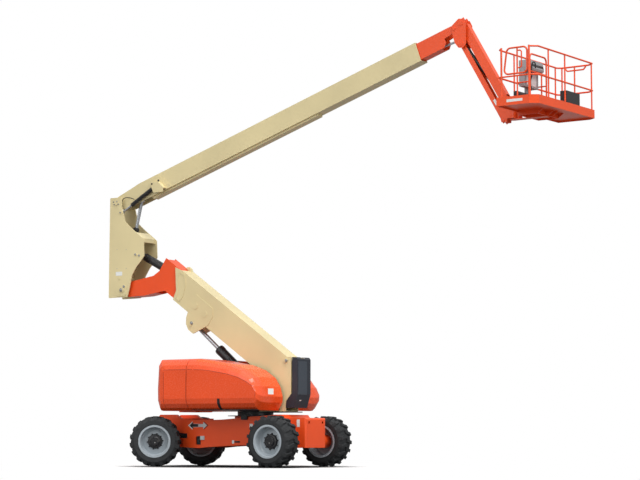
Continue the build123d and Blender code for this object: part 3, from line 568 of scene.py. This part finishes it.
laid("hood_label", "hood_right", "hood_right", NEAR_CORNER, ((-60, 1530), (60, 1530)), 120, LABEL, "rim", 0.4,
     lift=1.2, step=30, across=3)

# ---------------------------------------------------------------- foot of the tower
FOOT_BOLT, FOOT_BOLT_SIZE = (1355, 2166), 22
foot = Piece()
foot.bolt(RIGHT.touch("turntable_cheeks", *FOOT_BOLT), -Y, FOOT_BOLT_SIZE)
foot.make("foot_bolt", "turntable", STEEL, "dark", 1)
laid("cover_panel", "turntable", "end_cover", FRONT, ((-60, 2150), (-60, 1470)), 330, COVER_PANEL, "cover", 4,
     lift=5.0, step=90, across=4)
laid("cover_reflector", "turntable", "end_cover", FRONT, ((-110, 1352), (-50, 1352)), 20, LABEL, "rim", 1,
     lift=3.0)

# ---------------------------------------------------------------- cylinders
CYLINDERS = (  # name, foot and rod's eye in X and Z, barrel radius, rod radius, barrel length
    ("tower_lift", (860, 1280), (-1099, 2970), 102, 42, 1790),
    ("level", (-2526, 4525), (-925, 3680), 85, 45, 1230),
    ("boom_lift", (-2978, 4029), (-2565, 5730), 65, 36, 1130),
)
GLAND_BACK = 95  # from the head of the barrel back to the start of its gland


def gland_profile(barrel, rod):
    """Collar around the barrel's head that narrows to the rod."""
    return ((0, barrel - 2), (0, barrel + 5), (70, barrel + 5), (84, barrel), (98, barrel - 12),
            (98, rod + 4), (104, rod + 3))


for name, (foot_x, foot_z), (eye_x, eye_z), barrel, rod, length in CYLINDERS:
    direction = Vector((eye_x - foot_x, 0, eye_z - foot_z)).normalized()
    start = mm(foot_x, 0, foot_z) + direction * (length - GLAND_BACK) / 1000
    gland = Piece()
    gland.turned(gland_profile(barrel, rod), start, direction, 40)
    gland.make(f"{name}_gland", f"{name}_barrel", BLACK, "barrel", 2)

LIFT_HOSE = ((-175, -100, 2235), (-120, -126, 2222), (-66, -128, 2165), (-34, -128, 2090), (-20, -122, 2020))
hose("lift_hose", LIFT_HOSE, 20, "tower_lift_barrel")

# ---------------------------------------------------------------- upright
UPRIGHT_BOLTS = (  # a, b, size: the keeper's four bolts, then the ends of the pins
    (-3158, 5702, 11), (-3054, 5707, 11), (-3138, 5646, 11), (-3023, 5646, 11),
    (-2963, 5461, 13), (-2543, 4525, 17), (-2448, 4499, 17), (-2847, 3845, 20), (-2915, 3772, 26),
)
HOLE_PLUGS = ((-3049, 4658), (-2797, 4641), (-3044, 4244), (-2792, 4233))
HOLE_PLUG = ((-2, 9), (3, 9), (4, 7))
for side_name, view, sign in SIDES:
    bolts = Piece()
    for a, b, size in UPRIGHT_BOLTS:
        bolts.bolt(view.touch("upright", a * sign, b), view.normal, size)
    for a, b in HOLE_PLUGS:
        bolts.turned(HOLE_PLUG, view.touch("upright", a * sign, b), view.normal, 12)
    bolts.make(f"upright_bolts_{side_name}", "upright", STEEL, "dark", 0.8)
laid("upright_label", "upright", "upright", RIGHT, ((-3075, 4128), (-2900, 4128)), 84, LABEL, "rim", 0.4,
     lift=1.2)

# ---------------------------------------------------------------- tower and boom
LUG_PIN, LUG_PIN_SIZE = (-2440, -705), 26
BOOM_PINS = ((-2023, 6109, 24), (-2116, 6028, 20))
MASTER_HOSE = ((-2950, -205, 5600), (-2966, -205, 5739), (-2851, -205, 5790), (-2714, -205, 5770),
               (-2640, -190, 5735))
tower_bolts = Piece()
tower_bolts.bolt(TOWER_RIGHT.touch("tower_base", *LUG_PIN), TOWER_RIGHT.normal, LUG_PIN_SIZE)
tower_bolts.make("tower_lug_pin", "tower_base", STEEL, "dark", 1)
boom_pins = Piece()
for a, b, size in BOOM_PINS:
    pin_end = ((-2, size), (3, size), (4, size - 3))
    boom_pins.turned(pin_end, RIGHT.touch("main_boom", a, b), RIGHT.normal, 20)
boom_pins.make("boom_pin_ends", "main_boom", BLACK, "dark", 0.8)
hose("master_hose", MASTER_HOSE, 9, "master_barrel")

# ---------------------------------------------------------------- jib and platform
laid("jib_label", "jib_lower_arm", "jib_lower_arm", RIGHT, ((6062, 7150), (6126, 7040)), 50,
     LABEL, "rim", 0.4, lift=1.2)
laid("platform_label", "platform", "platform_deck", RIGHT, ((6925, 6880), (7265, 6880)), 52,
     LABEL, "rim", 0.4, lift=1.2)
laid("console_panel", "platform", "platform_console", FRONT, ((-190, 7545), (-190, 7320)), 380, CONSOLE_PANEL,
     "console", 1, lift=2.0)
laid("console_band", "platform", "platform_console", FRONT, ((-390, 7690), (60, 7690)), 50, BLACK, "dark", 1,
     lift=2.5)

CONSOLE_CABLE = ((7060, -450, 7180), (7030, -465, 7330), (7080, -465, 7480), (7050, -450, 7640),
                 (7090, -430, 7750), (7140, -425, 7700), (7130, -425, 7610))
hose("console_cable", CONSOLE_CABLE, 14, "platform")

# ---------------------------------------------------------------- floor
FLOOR_HALF = 150.0  # metres
FLOOR_SEEN, FLOOR_BOUNCE = 0.80, 0.22  # the floor's tone to the camera and to the other rays
PAINTED_SHADOW_REACH = 2.2  # metres over which a painted shadow darkens the floor's colour near the machine
# Painted shadow: this ramp turns ambient occlusion into a darker floor colour under and near the machine.
PAINTED_SHADOW_RAMP = ((0.35, grey(0.02)), (0.6, grey(0.3)), (0.9, grey(1)))
FADE_FROM, FADE_TO = 2.4, 5.0  # metres from the middle over which the floor goes white


def floor_material():
    """Pale floor that keeps the shadow near the machine, where a painted shadow from ambient occlusion
    darkens its colour, and goes white further out.
    """
    s = Shader("floor")
    s.bsdf.inputs["Roughness"].default_value = 0.9
    s.bsdf.inputs["Specular IOR Level"].default_value = 0.0
    seen = s.add("ShaderNodeLightPath")
    tone = s.blend(seen.outputs["Is Camera Ray"], grey(FLOOR_BOUNCE), grey(FLOOR_SEEN))
    # Painted shadow: ambient occlusion near the machine darkens the floor's colour.
    close = s.add("ShaderNodeAmbientOcclusion", samples=8, Distance=PAINTED_SHADOW_REACH)
    painted_shadow = s.ramp(close.outputs["AO"], PAINTED_SHADOW_RAMP)
    s.join(s.blend(1.0, tone, painted_shadow, "MULTIPLY"), s.bsdf.inputs["Base Color"])
    distance = s.add("ShaderNodeVectorMath", operation="DISTANCE")
    s.join(s.coords.outputs["Object"], distance.inputs[0])
    distance.inputs[1].default_value = place(0, 0, 0)
    fade = s.add("ShaderNodeMapRange", interpolation_type="SMOOTHSTEP")
    fade.inputs["From Min"].default_value = FADE_FROM
    fade.inputs["From Max"].default_value = FADE_TO
    s.join(distance.outputs["Value"], fade.inputs["Value"])
    factor = s.add("ShaderNodeMath", operation="MULTIPLY")
    s.join(fade.outputs["Result"], factor.inputs[0])
    s.join(seen.outputs["Is Camera Ray"], factor.inputs[1])
    white = s.add("ShaderNodeEmission", Strength=1.0)
    mixed = s.add("ShaderNodeMixShader")
    s.join(factor.outputs["Value"], mixed.inputs["Fac"])
    s.join(s.bsdf.outputs["BSDF"], mixed.inputs[1])
    s.join(white.outputs["Emission"], mixed.inputs[2])
    s.join(mixed.outputs["Shader"], s.nodes["Material Output"].inputs["Surface"])
    return s.material


floor_corners = [(x * FLOOR_HALF, y * FLOOR_HALF, 0) for x, y in ((-1, -1), (1, -1), (1, 1), (-1, 1))]
floor_mesh = bpy.data.meshes.new("floor")
floor_mesh.from_pydata(floor_corners, [], [(0, 1, 2, 3)])
floor = bpy.data.objects.new("floor", floor_mesh)
scene.collection.objects.link(floor)
floor_mesh.materials.append(floor_material())

# ---------------------------------------------------------------- background and light
SKY = (  # share of the way up, strength
    (0.0, grey(0.12)),
    (0.47, grey(0.16)),
    (0.55, grey(0.42)),
    (0.75, grey(0.62)),
    (1.0, grey(1.05)),
)
SUNS = (  # name, direction the light comes from, strength, softness in degrees
    ("key", (0.45, -0.28, 1.0), 2.3, 40),
    ("side", (1.0, -0.35, 0.25), 0.9, 40),
    ("near", (-0.1, -1.0, 0.35), 0.9, 50),
)


def studio():
    """Background that is bright above and dim at its sides, and plain white to the camera."""
    world = bpy.data.worlds.new("studio")
    world.use_nodes = True
    nodes, links = world.node_tree.nodes, world.node_tree.links
    coords = nodes.new("ShaderNodeTexCoord")
    split = nodes.new("ShaderNodeSeparateXYZ")
    height = nodes.new("ShaderNodeMapRange")
    height.inputs["From Min"].default_value = -1.0
    sky = nodes.new("ShaderNodeValToRGB")
    set_ramp(sky.color_ramp, SKY)
    path = nodes.new("ShaderNodeLightPath")
    choose = nodes.new("ShaderNodeMix")
    choose.data_type = "RGBA"
    choose.inputs[7].default_value = (1, 1, 1, 1)
    links.new(coords.outputs["Generated"], split.inputs[0])
    links.new(split.outputs["Z"], height.inputs["Value"])
    links.new(height.outputs["Result"], sky.inputs["Fac"])
    links.new(sky.outputs["Color"], choose.inputs[6])
    links.new(path.outputs["Is Camera Ray"], choose.inputs[0])
    links.new(choose.outputs[2], nodes["Background"].inputs["Color"])
    return world


scene.world = studio()
for name, direction, power, angle in SUNS:
    data = bpy.data.lights.new(name, "SUN")
    data.energy = power
    data.angle = radians(angle)
    lamp = bpy.data.objects.new(name, data)
    lamp.rotation_euler = Vector(direction).to_track_quat("Z", "Y").to_euler()
    scene.collection.objects.link(lamp)
